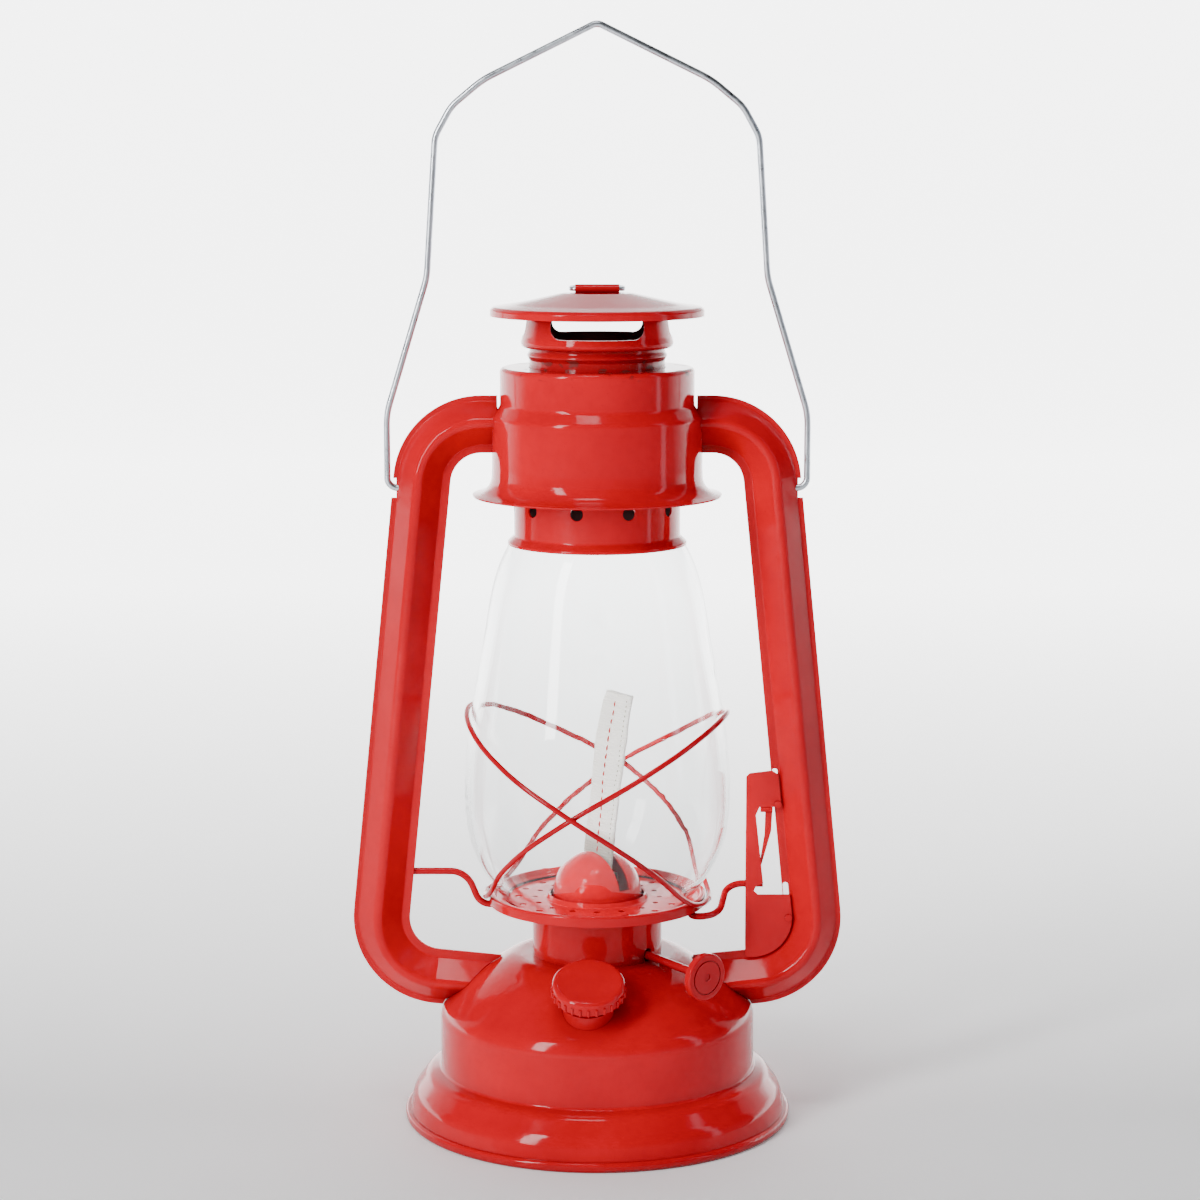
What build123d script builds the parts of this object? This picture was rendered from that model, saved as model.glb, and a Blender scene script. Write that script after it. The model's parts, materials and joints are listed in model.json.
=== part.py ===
from build123d import *
import os
from math import atan, cos, degrees, pi, radians, sin, tan

# A tubular kerosene lantern, in millimetres. +Z is up, the origin is the centre of the
# foot on the ground, the two air tubes stand at -X and +X, and the filler faces -Y.

os.makedirs("parts", exist_ok=True)

# ---------------------------------------------------------------- sheet, wire and gaps
sheet = 0.6                   # thickness of the pressed sheet
seam_gap = 0.1                # between soldered pieces on curved faces
run_gap = 0.3                 # between pieces that slide past each other
seat_play = 0.05              # between flat faces that rest on each other
hinge_gap = 0.08              # radial play of a wire or shaft in its hole
wick_gap = 0.3                # between the wick and its tube

# ---------------------------------------------------------------- foot and tank
foot_flare = 13.0             # foot rim outside the tank wall
bead_height = 3.5
bead_width = 3.2
bead_round = 1.2
flare_height = 20.0
tank_radius = 57.0
base_radius = tank_radius + foot_flare
tank_wall_height = 18.0
dome_height = 22.2
shoulder_rise = 2.5           # shoulder corner above the tank wall
knee_inset = 13.5             # the dome's knee inside the tank wall
knee_rise = 15.2              # the dome's knee above the tank wall
crown_inset = 26.0            # where the dome turns flat, inside the tank wall
crown_radius = tank_radius - crown_inset
floor_height = 2.6

# ---------------------------------------------------------------- burner
collar_radius = 23.4
collar_height = 20.0
collar_flare = 1.2
collar_flare_height = 3.2
mouth_inset = 3.4             # tank mouth inside the burner collar
tank_mouth_radius = collar_radius - mouth_inset
drum_radius = 16.0
drum_flange = 1.5             # drum's flange outside the tank mouth
drum_skirt = 3.0              # drum's skirt inside the tank mouth
drum_holes = 16
drum_hole_radius = 1.6
cone_inset = 0.2
cone_radius = drum_radius - cone_inset
cone_rise = 14.4
cone_foot = 2.6               # whole ring under the flame slot
flame_slot_width = 5.0
burner_turn = 40.0            # degrees from the front to the wick's plane and its knob
wick_width = 16.0
wick_thickness = 2.2
wick_tube_reach = 7.6         # wick tube above the drum
wick_tube_drop = 10.0         # wick tube below the tank's top
wick_exposed = 65.0
wick_lean = 9.0               # degrees
shaft_radius = 1.5
shaft_height = 3.4            # shaft axis above the tank's top
shaft_offset = 4.4            # from the wick's middle plane to the shaft axis
shaft_fall = 2.6              # degrees that the shaft falls towards the knob
spur_radius = 3.0
spur_teeth = 10
spur_thickness = 1.4
spur_place = 4.5              # each side of the wick's middle
knob_distance = 52.6          # from the lantern's axis to the knob's back
knob_radius = 8.5
knob_thickness = 2.4
knob_rounding = 0.7
knob_groove = 0.5             # width of the pressed ring in its face
knob_pressing = 0.3           # depth of the pressed ring
knob_skin = 0.9               # sheet of the dished face

# ---------------------------------------------------------------- filler
filler_place = (-3.0, 44.5)   # across, and forward of the axis
filler_tilt = 25.0
neck_radius = 9.2
neck_wall = 1.0
neck_height = 9.0
neck_depth = 6.0
thread_pitch = 2.0
thread_depth = 0.8
thread_foot = 1.3
thread_crest = 0.5
thread_sink = 0.1             # thread into the neck's wall
thread_margin = 0.2           # neck above the thread
thread_turns = 3.6
cap_play = 1.8                # between the thread and the cap
cap_height = 5.0
cap_wall = 1.0
cap_radius = neck_radius + thread_depth + cap_play + cap_wall
cap_shoulder = 2.4            # plain edge above the flutes
flute_radius = 0.5
cap_flutes = 28
cap_rounding = 1.8
gasket_thickness = 1.0

# ---------------------------------------------------------------- globe and its plate
seat_gap = 0.2                # plate above the burner collar
globe_height = 129.3
globe_radius = 47.9
globe_base_radius = 35.0
globe_top_radius = 31.0
globe_wall = 2.0
plate_hole_clear = 1.6        # around the burner drum
plate_hole_radius = drum_radius + plate_hole_clear
plate_margin = 4.2            # plate rim outside the globe's foot
plate_lip = 1.9               # rim above the plate's floor
plate_curl = 3.8              # height of the curled rim
plate_holes = 16
guard_wire = 1.9
guard_turn = -9.7             # degrees that the guard is turned on the plate
cradle_wire = 2.5
lift_travel = 12.0

# ---------------------------------------------------------------- chimney and hood
collar_exposed = 17.2         # chimney collar seen between globe and canopy
collar_inset = 1.4            # collar inside the globe's top edge
collar_inside = 10.4          # collar above the canopy's flange
collar_hole_radius = 2.3
collar_holes = 10
chimney_radius = 24.0
neck_bead = 0.9
neck_exposed = 7.0            # chimney tube seen above the canopy
vent_overhang = 3.5           # vent ring's foot outside the chimney tube
vent_radius = chimney_radius + vent_overhang
vent_top_radius = chimney_radius + 0.8
vent_height = 15.4
vent_sill = 4.0               # window sill above the vent ring's foot
window_height = 9.5
window_half = 16.2            # half width of the front and back windows
side_window_half = 6.6
hood_radius = 37.9
hood_rim = 3.2
hood_rise = 5.0
hood_crown_radius = 12.0
strap_length = 15.5
strap_radius = 1.65
strap_wall = 0.6
ring_wire = 1.5
ring_width = 18.5
ring_depth = 14.0
spring_wire = 1.4
spring_turns = 3
spring_clear = 3.6            # coil's middle outside the chimney tube

# ---------------------------------------------------------------- canopy
canopy_height = 45.0
canopy_radius = 37.4
canopy_step = 2.9
canopy_top_radius = canopy_radius - canopy_step
canopy_brim = 6.9
canopy_flange_radius = canopy_radius + canopy_brim
flange_rise = 9.5
step_low = 27.5               # heights of the step above the flange
step_high = 31.5

# ---------------------------------------------------------------- side tubes
tube_half = 10.2              # half width over the seams
tube_depth = 8.0              # half depth at the crease
crease_place = 1.0            # crease outside the middle line
outer_seam = 1.8
inner_seam = 3.0
crease_round = 2.5
tube_entry = 24.8             # tube middle above the canopy's flange
tube_rest = 15.0              # tube middle above the tank wall
leg_low_gap = 32.4            # lower corner of the tube outside the globe
leg_top_gap = 12.4            # upper corner of the tube outside the globe
run_fall = 4.4                # fall of the lower run towards the tank
run_end = 35.8                # radius where the lower run ends on the dome
upper_bend = 21.3
lower_bend = 22.0

# ---------------------------------------------------------------- bail
bail_wire = 2.4
bail_drop = 22.7              # pivot below the tube's upper run
bail_hook = 7.5               # length of each end inside the tube
bail_clear = 0.5              # leg outside the tube's seam
bail_bend = 3.6

# ---------------------------------------------------------------- lift lever
lever_sheet = 0.8
lever_lap = 2.6               # over the tube's inner seam
lever_width = 16.4            # from the tube's inner edge at the lower run's height
lever_top = 46.4              # above the plate's floor
lever_window_top = 33.0
lip_wall = 1.2                # lever lip around the cradle wire
lip_height = 42.0
rivet_head = 0.6              # rivet head outside its shank
rivet_radius = 0.7
rivet_heights = (34.0, -8.0)  # above the plate's floor

# ---------------------------------------------------------------- levels
shoulder_z = flare_height + tank_wall_height
tank_top_z = shoulder_z + dome_height
plate_z = tank_top_z + collar_height + seat_gap
floor_z = plate_z + sheet
globe_z = floor_z + seat_play
globe_top_z = globe_z + globe_height
flange_z = globe_top_z + collar_exposed
canopy_top_z = flange_z + canopy_height
tube_top_z = flange_z + tube_entry
tube_low_z = shoulder_z + tube_rest
vent_z = canopy_top_z + neck_exposed
drum_top_z = floor_z + 2.4
shaft_z = tank_top_z + shaft_height
pivot_z = tube_top_z - bail_drop

# ---------------------------------------------------------------- directions
outward = Vector(sin(radians(burner_turn)), -cos(radians(burner_turn)), 0)
sideways = Vector(cos(radians(burner_turn)), sin(radians(burner_turn)), 0)
leg_top_x = globe_radius + leg_top_gap
leg_low_x = globe_radius + leg_low_gap
leg_slope = (leg_low_x - leg_top_x) / (tube_top_z - tube_low_z)
leg_angle = degrees(atan(leg_slope))
leg_half = tube_half / cos(radians(leg_angle))


def leg_x(z):
    """Middle line of the right tube's straight leg at height z."""
    return leg_top_x + (tube_top_z - z) * leg_slope


def rivet_x(z):
    """Middle of the lever's rivets in the right tube's inner seam at height z."""
    return leg_x(z) - leg_half + lever_lap / 2


def dome_z(radius):
    """Height of the tank's dome at a radius, between its knee and its crown."""
    knee_radius = tank_radius - knee_inset
    share = (knee_radius - radius) / (knee_radius - crown_radius)
    return shoulder_z + knee_rise + share * (dome_height - knee_rise)


def save(piece, name):
    """Label a finished piece and write it."""
    piece.part.label = name
    export_step(piece.part, f"parts/{name}.step")


def sheet_profile(points, rounds, side=Side.RIGHT):
    """A strip of sheet along a bent line, as a face to turn about the axis."""
    with BuildSketch(Plane.XZ) as profile:
        with BuildLine():
            FilletPolyline(*points, radius=rounds)
            offset(amount=sheet, side=side)
        make_face()
    return profile.sketch


def smooth_rounds(points):
    """The largest even bend at each corner of a bent wire."""
    corners = [Vector(*point) for point in points]
    rounds = []
    for before, corner, after in zip(corners, corners[1:], corners[2:]):
        run_in = corner - before
        run_out = after - corner
        half_turn = radians(run_in.get_angle(run_out)) / 2
        rounds.append(0.45 * min(run_in.length, run_out.length) / tan(half_turn))
    return rounds


def bent_wire(points, rounds, radius):
    """A round wire along corners with rounded bends."""
    with BuildPart() as wire:
        with BuildLine() as route:
            FilletPolyline(*points, radius=rounds)
        with BuildSketch(Plane(origin=route.line @ 0, z_dir=route.line % 0)):
            Circle(radius)
        sweep()
    return wire.part


# ================================================================ foot and tank
skirt_span = base_radius - tank_radius

with BuildPart() as base_skirt:
    with BuildSketch(Plane.XZ):
        with BuildLine():
            FilletPolyline(
                (tank_radius, flare_height),
                (tank_radius, 0.93 * flare_height),
                (tank_radius + 0.35 * skirt_span, 0.86 * flare_height),
                (tank_radius + 0.76 * skirt_span, 0.50 * flare_height),
                (base_radius - bead_width / 2, bead_height - bead_round),
                radius=[1.0, 5.0, 9.0],
            )
            offset(amount=sheet, side=Side.RIGHT)
        make_face()
        with Locations((base_radius - bead_width / 2, bead_height / 2)):
            RectangleRounded(bead_width, bead_height, bead_round)
    revolve(axis=Axis.Z)
save(base_skirt, "base_skirt")

with BuildPart() as tank_floor:
    with BuildSketch(Plane.XY.offset(floor_height)):
        Circle(base_radius - bead_width - seam_gap)
    extrude(amount=sheet)
save(tank_floor, "tank_floor")

dome_corners = [
    (tank_radius, shoulder_z + shoulder_rise),
    (tank_radius - knee_inset, shoulder_z + knee_rise),
    (crown_radius, tank_top_z),
]
dome_rounds = [9.0, 50.0, 12.0]
filler_across, filler_forward = filler_place
filler_z = dome_z((filler_across**2 + filler_forward**2) ** 0.5)
filler_plane = Plane(
    origin=(filler_across, -filler_forward, filler_z),
    x_dir=(1, 0, 0),
    z_dir=(0, -sin(radians(filler_tilt)), cos(radians(filler_tilt))),
)

with BuildPart() as tank_shell:
    add(
        sheet_profile(
            [(tank_radius, flare_height), *dome_corners, (tank_mouth_radius, tank_top_z)],
            dome_rounds,
            side=Side.LEFT,
        )
    )
    revolve(axis=Axis.Z)
    with BuildSketch(filler_plane):
        Circle(neck_radius + seam_gap)
    extrude(amount=2 * neck_depth, both=True, mode=Mode.SUBTRACT)
save(tank_shell, "tank_shell")

# the tank's outside as a solid, to cut what is soldered on it
with BuildPart() as tank_form:
    with BuildSketch(Plane.XZ):
        with BuildLine():
            outline = FilletPolyline(
                (tank_radius + seam_gap, 0),
                *[(radius + seam_gap, z + seam_gap) for radius, z in dome_corners],
                (0, tank_top_z + seam_gap),
                radius=dome_rounds,
            )
            Polyline(outline @ 1, (0, 0), outline @ 0)
        make_face()
    revolve(axis=Axis.Z)

# ================================================================ filler
# the thread is wound upright, then set on the neck
with BuildPart() as neck_thread:
    with BuildLine() as thread:
        Helix(pitch=thread_pitch, height=thread_turns * thread_pitch, radius=neck_radius - thread_sink)
    with BuildSketch(Plane(origin=thread.line @ 0, x_dir=(1, 0, 0), z_dir=thread.line % 0)):
        Polygon(
            (0, -thread_foot / 2),
            (thread_depth + thread_sink, -thread_crest / 2),
            (thread_depth + thread_sink, thread_crest / 2),
            (0, thread_foot / 2),
            align=None,
        )
    sweep(is_frenet=True)
thread_low = neck_height - thread_turns * thread_pitch - thread_foot / 2 - thread_margin

with BuildPart() as filler_neck:
    with BuildSketch(filler_plane.offset(-neck_depth)):
        Circle(neck_radius)
        Circle(neck_radius - neck_wall, mode=Mode.SUBTRACT)
    extrude(amount=neck_depth + neck_height)
    add(filler_plane.offset(thread_low).location * neck_thread.part)
save(filler_neck, "filler_neck")

with BuildPart() as cap_gasket:
    with BuildSketch(filler_plane.offset(neck_height + seat_play)):
        Circle(cap_radius - cap_wall - run_gap)
    extrude(amount=gasket_thickness)
save(cap_gasket, "cap_gasket")

cap_top = neck_height + seat_play + gasket_thickness + seat_play + cap_wall

with BuildPart() as filler_cap:
    with BuildSketch(filler_plane.offset(cap_top - cap_height)):
        Circle(cap_radius)
        with PolarLocations(cap_radius, cap_flutes):
            Circle(flute_radius)
    extrude(amount=cap_height - cap_shoulder)
    with BuildSketch(filler_plane.offset(cap_top - cap_height)):
        Circle(cap_radius)
    extrude(amount=cap_height)
    cap_axis = Axis(filler_plane.origin, filler_plane.z_dir)
    cap_rim = filler_cap.edges().filter_by(GeomType.CIRCLE).sort_by(cap_axis)[-1]
    fillet(cap_rim, radius=cap_rounding)
    with BuildSketch(filler_plane.offset(cap_top - cap_height)):
        Circle(cap_radius - cap_wall)
    extrude(amount=cap_height - cap_wall, mode=Mode.SUBTRACT)
save(filler_cap, "filler_cap")

# ================================================================ burner
collar_top_z = tank_top_z + collar_height
tube_mouth_z = drum_top_z + wick_tube_reach
wick_tube_half = wick_thickness / 2 + wick_gap + sheet


def burner_plane(z):
    """Level plane at height z with x along the wick's width, towards the knob."""
    return Plane(origin=(0, 0, z), x_dir=outward, z_dir=(0, 0, 1))


shaft_way = outward * cos(radians(shaft_fall)) - Vector(0, 0, sin(radians(shaft_fall)))
shaft_plane = Plane(
    origin=sideways * shaft_offset + Vector(0, 0, shaft_z), x_dir=sideways, z_dir=shaft_way
)

with BuildPart() as burner_collar:
    add(
        sheet_profile(
            [
                (collar_radius, tank_top_z),
                (collar_radius, collar_top_z - collar_flare_height),
                (collar_radius + collar_flare, collar_top_z - 0.28 * collar_flare_height),
                (collar_radius + collar_flare, collar_top_z),
            ],
            [2.0, 1.0],
            side=Side.LEFT,
        )
    )
    revolve(axis=Axis.Z)
    with BuildSketch(shaft_plane):
        SlotOverall(shaft_radius * 3.4, shaft_radius * 2.6, rotation=90)
    extrude(amount=collar_radius + 5, mode=Mode.SUBTRACT)
save(burner_collar, "burner_collar")

with BuildPart() as burner_drum:
    with BuildSketch(Plane.XY.offset(tank_top_z)):
        Circle(tank_mouth_radius + drum_flange)
    extrude(amount=sheet)
    with BuildSketch(Plane.XY.offset(tank_top_z - drum_skirt)):
        Circle(tank_mouth_radius - run_gap)
        Circle(tank_mouth_radius - run_gap - sheet, mode=Mode.SUBTRACT)
    extrude(amount=drum_skirt)
    with BuildSketch(Plane.XY.offset(tank_top_z + sheet)):
        Circle(drum_radius)
        Circle(drum_radius - sheet, mode=Mode.SUBTRACT)
    extrude(amount=drum_top_z - tank_top_z - sheet)
    opening_low = -wick_tube_half - seam_gap
    opening_high = shaft_offset + spur_radius + run_gap
    with BuildSketch(burner_plane(tank_top_z)):
        with Locations((0, (opening_low + opening_high) / 2)):
            Rectangle(wick_width + 2 * (wick_gap + sheet + seam_gap), opening_high - opening_low)
    extrude(amount=sheet, mode=Mode.SUBTRACT)
    with BuildSketch(shaft_plane):
        Circle(shaft_radius + hinge_gap)
    extrude(amount=drum_radius + 2, both=True, mode=Mode.SUBTRACT)
    with Locations((0, 0, (shaft_z + drum_top_z) / 2 + 2)):
        with PolarLocations(0, drum_holes):
            Cylinder(
                drum_hole_radius,
                drum_radius + 2,
                rotation=(0, 90, 0),
                align=(Align.CENTER, Align.CENTER, Align.MIN),
                mode=Mode.SUBTRACT,
            )
save(burner_drum, "burner_drum")

with BuildPart() as wick_tube:
    with BuildSketch(burner_plane(tank_top_z - wick_tube_drop)):
        Rectangle(wick_width + 2 * (wick_gap + sheet), 2 * wick_tube_half)
        Rectangle(wick_width + 2 * wick_gap, wick_thickness + 2 * wick_gap, mode=Mode.SUBTRACT)
    extrude(amount=tube_mouth_z - tank_top_z + wick_tube_drop)
    with BuildSketch(burner_plane(shaft_z - spur_radius - run_gap)):
        with Locations((-spur_place, wick_tube_half), (spur_place, wick_tube_half)):
            Rectangle(spur_thickness + 2 * run_gap, 2 * sheet + 0.2)
    extrude(amount=2 * (spur_radius + run_gap), mode=Mode.SUBTRACT)
save(wick_tube, "wick_tube")

with BuildPart() as burner_cone:
    with BuildSketch(Plane.XZ):
        with Locations((0, drum_top_z)):
            Ellipse(cone_radius, cone_rise)
            Ellipse(cone_radius - sheet, cone_rise - sheet, mode=Mode.SUBTRACT)
            for keep_off in ((Align.MAX, Align.CENTER), (Align.CENTER, Align.MAX)):
                Rectangle(2 * cone_radius, 2 * cone_rise, align=keep_off, mode=Mode.SUBTRACT)
    revolve(axis=Axis.Z)
    with BuildSketch(burner_plane(drum_top_z + cone_foot)):
        Rectangle(2 * cone_radius + 2, flame_slot_width)
    extrude(amount=cone_rise, mode=Mode.SUBTRACT)
save(burner_cone, "burner_cone")

# ================================================================ wick
wick_profile = Plane(origin=(0, 0, 0), x_dir=sideways, z_dir=outward)
lean_z = drum_top_z + cone_rise + 1.0
wick_end_z = tube_mouth_z + wick_exposed * cos(radians(wick_lean))
wick_shift = (wick_end_z - lean_z) * tan(radians(wick_lean))

with BuildPart() as wick_top:
    with BuildSketch(wick_profile.offset(-wick_width / 2)):
        with BuildLine():
            FilletPolyline(
                (-wick_thickness / 2, tube_mouth_z),
                (-wick_thickness / 2, lean_z),
                (wick_shift - wick_thickness / 2, wick_end_z),
                radius=[40.0],
            )
            offset(amount=wick_thickness, side=Side.RIGHT)
        make_face()
    extrude(amount=wick_width)
save(wick_top, "wick_top")

core_low_z = shaft_z - spur_radius
with BuildPart() as wick_core:
    with BuildSketch(burner_plane(core_low_z)):
        Rectangle(wick_width, wick_thickness)
    extrude(amount=tube_mouth_z - core_low_z)
save(wick_core, "wick_core")

tail_low_z = floor_height + sheet + run_gap + 2
with BuildPart() as wick_tail:
    with BuildSketch(burner_plane(tail_low_z)):
        Rectangle(wick_width, wick_thickness)
    extrude(amount=core_low_z - tail_low_z)
save(wick_tail, "wick_tail")

# ================================================================ wick knob
shaft_reach = drum_radius + 1.2

with BuildPart() as wick_shaft:
    with BuildSketch(shaft_plane.offset(-shaft_reach)):
        Circle(shaft_radius)
    extrude(amount=shaft_reach + knob_distance)
save(wick_shaft, "wick_shaft")

with BuildPart() as wick_knob:
    with BuildSketch(shaft_plane.offset(knob_distance)):
        Circle(knob_radius)
    extrude(amount=knob_thickness)
    knob_axis = Axis(shaft_plane.origin, shaft_way)
    face_edge = wick_knob.edges().filter_by(GeomType.CIRCLE).sort_by(knob_axis)[-1]
    fillet(face_edge, radius=knob_rounding)
    with BuildSketch(shaft_plane.offset(knob_distance + knob_thickness)):
        Circle(0.74 * knob_radius)
        Circle(0.74 * knob_radius - knob_groove, mode=Mode.SUBTRACT)
        Circle(0.16 * knob_radius)
    extrude(amount=-knob_pressing, mode=Mode.SUBTRACT)
    with BuildSketch(shaft_plane.offset(knob_distance)):
        Circle(knob_radius - 0.8)
        Circle(shaft_radius + 1.0, mode=Mode.SUBTRACT)
    extrude(amount=knob_thickness - knob_skin, mode=Mode.SUBTRACT)
save(wick_knob, "wick_knob")

with BuildPart() as spur_wheels:
    for place in (-spur_place, spur_place):
        with BuildSketch(shaft_plane.offset(place - spur_thickness / 2)):
            Circle(spur_radius - 0.8)
            with PolarLocations(spur_radius - 0.9, spur_teeth):
                Polygon((0, -0.55), (0.9, 0), (0, 0.55), align=None)
            Circle(shaft_radius, mode=Mode.SUBTRACT)
        extrude(amount=spur_thickness)
save(spur_wheels, "spur_wheels")

# ================================================================ globe and its plate
bulge_rise = 0.286 * globe_height
globe_side = [
    (globe_base_radius - globe_wall / 2, 0),
    (globe_radius - 9.6, 6.0),
    (globe_radius - 2.7, 0.147 * globe_height),
    (globe_radius, bulge_rise),
    (globe_radius - 2.5, 0.518 * globe_height),
    (globe_radius - 7.6, 0.750 * globe_height),
    (globe_top_radius + 2.4, 0.966 * globe_height),
    (globe_top_radius, globe_height),
]


def globe_wall_radius(z):
    """Outside radius of the globe at height z, on straight lines between its points."""
    rise = min(max(z - globe_z, 0), globe_height)
    for (low_radius, low), (high_radius, high) in zip(globe_side, globe_side[1:]):
        if rise <= high:
            return low_radius + (high_radius - low_radius) * (rise - low) / (high - low)
    return globe_top_radius


with BuildPart() as globe:
    with BuildSketch(Plane.XZ):
        with BuildLine():
            outside = Spline(*[(radius, globe_z + rise) for radius, rise in globe_side])
            inside = Spline(
                (globe_base_radius - globe_wall / 2 - globe_wall, globe_z),
                *[(radius - globe_wall, globe_z + rise) for radius, rise in globe_side[1:-1]],
                (globe_top_radius - globe_wall, globe_top_z),
            )
            Line(outside @ 0, inside @ 0)
            Line(outside @ 1, inside @ 1)
        make_face()
    revolve(axis=Axis.Z)
save(globe, "globe")

plate_radius = globe_base_radius + plate_margin
plate_rim_z = floor_z + plate_lip

with BuildPart() as globe_plate:
    add(
        sheet_profile(
            [
                (plate_hole_radius, floor_z + 1.8),
                (plate_hole_radius + 0.8, floor_z),
                (globe_base_radius + 1.4, floor_z),
                (globe_base_radius + 2.4, plate_rim_z),
                (plate_radius, plate_rim_z),
                (plate_radius, plate_rim_z - plate_curl),
            ],
            [0.7, 0.7, 0.7, 0.9],
        )
    )
    revolve(axis=Axis.Z)
    for ring_radius, hole_radius in ((22.6, 1.1), (28.6, 1.3)):
        with BuildSketch(Plane.XY.offset(plate_z)):
            with PolarLocations(ring_radius, plate_holes):
                Circle(hole_radius)
        extrude(amount=sheet, mode=Mode.SUBTRACT)
save(globe_plate, "globe_plate")

# each guard ring lies along the plate's rim on one side and rises over the other:
# (degrees from its highest point, height above the plate's floor)
guard_shape = [(0, 69), (22, 66.5), (44, 60), (66, 51), (90, 39.5), (112, 26), (130, 14.5)]
guard_foot = [(144, 6.5, 1.6), (155, 2.2, 0.9), (167, 0.4, 0.6), (179.4, 0.4, 0.6)]
guard_clear = 1.5

for guard_name, high_side, outside in (
    ("guard_ring_right", 0, 1.2),
    ("guard_ring_left", 180, guard_wire + 1.8),
):
    guard_side = []
    for angle, rise in guard_shape:
        radius = globe_wall_radius(floor_z + rise) + guard_clear + guard_wire / 2
        crossing = max(0, 1 - abs(angle - 90) / 60)
        guard_side.append((angle, radius + crossing * outside, rise))
    for angle, rise, clear in guard_foot:
        guard_side.append((angle, plate_radius + guard_wire / 2 + clear, rise))
    guard_points = []
    for angle, radius, rise in guard_side[::-1]:
        turn = radians(high_side + guard_turn + angle)
        guard_points.append((radius * cos(turn), radius * sin(turn), floor_z + rise))
    for angle, radius, rise in guard_side[1:]:
        turn = radians(high_side + guard_turn - angle)
        guard_points.append((radius * cos(turn), radius * sin(turn), floor_z + rise))
    with BuildPart() as guard_ring:
        add(bent_wire(guard_points, smooth_rounds(guard_points), guard_wire / 2))
    save(guard_ring, guard_name)

# the cradle wire enters the left tube, runs behind the burner under the plate,
# and comes out at the front right towards the lever
cradle_under_z = plate_z - cradle_wire / 2 - seam_gap
cradle_exit_z = plate_rim_z - plate_curl - cradle_wire / 2 - 0.1
cradle_left_z = floor_z + 8.6
cradle_right_z = floor_z + 4.2
cradle_link_y = cradle_wire / 2 - 0.6
cradle_left_y = cradle_wire / 2 + run_gap
lever_left_x = leg_x(tube_low_z) - leg_half - lever_width
cradle_turn = globe_base_radius - 0.6
cradle_points = [
    (-(leg_x(cradle_left_z) - leg_half + 4.6), cradle_left_y, cradle_left_z),
    (-(plate_radius + 8.3), cradle_left_y, cradle_left_z),
    (-(plate_radius + 3.3), 0, cradle_exit_z),
    (-cradle_turn, 0, cradle_exit_z),
]
for angle in range(156, 10, -29):
    turn = radians(angle)
    cradle_points.append((cradle_turn * cos(turn), cradle_turn * sin(turn), cradle_under_z))
cradle_points += [
    (cradle_turn * cos(radians(18)), -cradle_turn * sin(radians(18)), cradle_exit_z),
    (plate_radius - 4.6, -20, cradle_exit_z),
    (plate_radius + 4.6, -14, cradle_exit_z),
    (lever_left_x - 6.6, cradle_link_y, cradle_right_z),
    (lever_left_x + 6.4, cradle_link_y, cradle_right_z),
]
with BuildPart() as cradle:
    add(bent_wire(cradle_points, smooth_rounds(cradle_points), cradle_wire / 2))
save(cradle, "cradle_wire")

# ================================================================ chimney
collar_low_z = globe_top_z - 0.5
collar_outer = globe_top_radius - collar_inset
chimney_foot_z = flange_z + collar_inside

with BuildPart() as chimney_collar:
    add(
        sheet_profile(
            [
                (globe_top_radius + run_gap + sheet, collar_low_z),
                (globe_top_radius + run_gap + sheet, globe_top_z + 0.4),
                (collar_outer, globe_top_z + 2.6),
                (collar_outer, chimney_foot_z),
                (chimney_radius - 2 * sheet, chimney_foot_z),
            ],
            [0.7, 0.9, 1.2],
            side=Side.LEFT,
        )
    )
    revolve(axis=Axis.Z)
    with Locations((0, 0, flange_z - 4.0)):
        with PolarLocations(0, collar_holes, start_angle=-104):
            Cylinder(
                collar_hole_radius,
                collar_outer + 2,
                rotation=(0, 90, 0),
                align=(Align.CENTER, Align.CENTER, Align.MIN),
                mode=Mode.SUBTRACT,
            )
save(chimney_collar, "chimney_collar")

bead_z = canopy_top_z + 0.62 * neck_exposed
with BuildPart() as chimney_tube:
    add(
        sheet_profile(
            [
                (chimney_radius, chimney_foot_z),
                (chimney_radius, bead_z - 1.5),
                (chimney_radius + neck_bead, bead_z),
                (chimney_radius, bead_z + 1.5),
                (chimney_radius, vent_z),
            ],
            [1.0, 0.8, 1.0],
            side=Side.LEFT,
        )
    )
    revolve(axis=Axis.Z)
save(chimney_tube, "chimney_tube")

hood_low_z = vent_z + vent_height - hood_rise + 0.8
crown_z = hood_low_z + hood_rim + 4.8
hood_knee = (30.0, hood_low_z + hood_rim + 0.9)
hood_at_vent = hood_knee[1] + (crown_z - hood_knee[1]) * (hood_knee[0] - vent_top_radius) / (
    hood_knee[0] - hood_crown_radius
)

with BuildPart() as vent_ring:
    add(
        sheet_profile(
            [
                (chimney_radius - 2 * sheet, vent_z),
                (vent_radius, vent_z),
                (vent_radius - 1.0, vent_z + vent_sill),
                (vent_top_radius, hood_at_vent - sheet - seam_gap),
            ],
            [1.8, 5.0],
            side=Side.LEFT,
        )
    )
    revolve(axis=Axis.Z)
    for plane, half in ((Plane.XZ, window_half), (Plane.YZ, side_window_half)):
        with BuildSketch(plane):
            with Locations((0, vent_z + vent_sill + window_height / 2)):
                window = Rectangle(2 * half, window_height)
            fillet(window.vertices().group_by(Axis.Z)[0], radius=3.6)
        extrude(amount=vent_radius + 2, both=True, mode=Mode.SUBTRACT)
save(vent_ring, "vent_ring")

with BuildPart() as hood:
    add(
        sheet_profile(
            [
                (0, crown_z),
                (hood_crown_radius, crown_z),
                hood_knee,
                (hood_radius - 1.2, hood_low_z + hood_rim),
                (hood_radius, hood_low_z + hood_rim - 1.0),
                (hood_radius, hood_low_z),
            ],
            [6.0, 20.0, 1.2, 0.8],
        )
    )
    revolve(axis=Axis.Z)
save(hood, "hood")

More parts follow.
